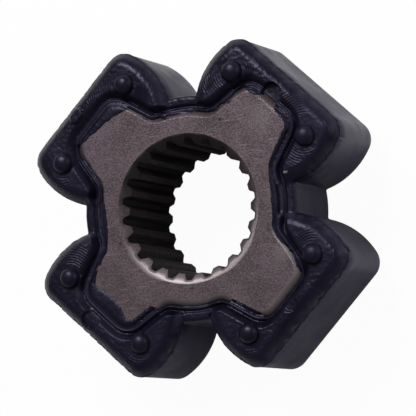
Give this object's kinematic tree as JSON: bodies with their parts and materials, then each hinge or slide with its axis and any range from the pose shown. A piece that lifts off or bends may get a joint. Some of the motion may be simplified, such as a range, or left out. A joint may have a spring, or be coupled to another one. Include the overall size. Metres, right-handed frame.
{
  "type": "steering coupler",
  "caption": "Rubber-jacketed steering coupler: a splined steel hub with lobes, moulded into a rubber cross of flared arms that seats in a lobed housing.",
  "frame": {"origin": "on the bore's axis, in the plane of the hub's rear face, on which the part rests", "axes": "+Z along the bore towards the front face with the nubs; the four arms point along the diagonals of X and Y, and the gaps between them along X and Y"},
  "size_m": [0.0552, 0.0552, 0.0237],
  "materials": {
    "sintered_steel": "satin sintered steel, grey-brown, fine grain",
    "moulded_rubber": "satin moulded rubber, blue-black"
  },
  "bodies": {
    "root": {"splined_hub": "sintered_steel", "rubber_cross": "moulded_rubber"}
  },
  "joints": []
}
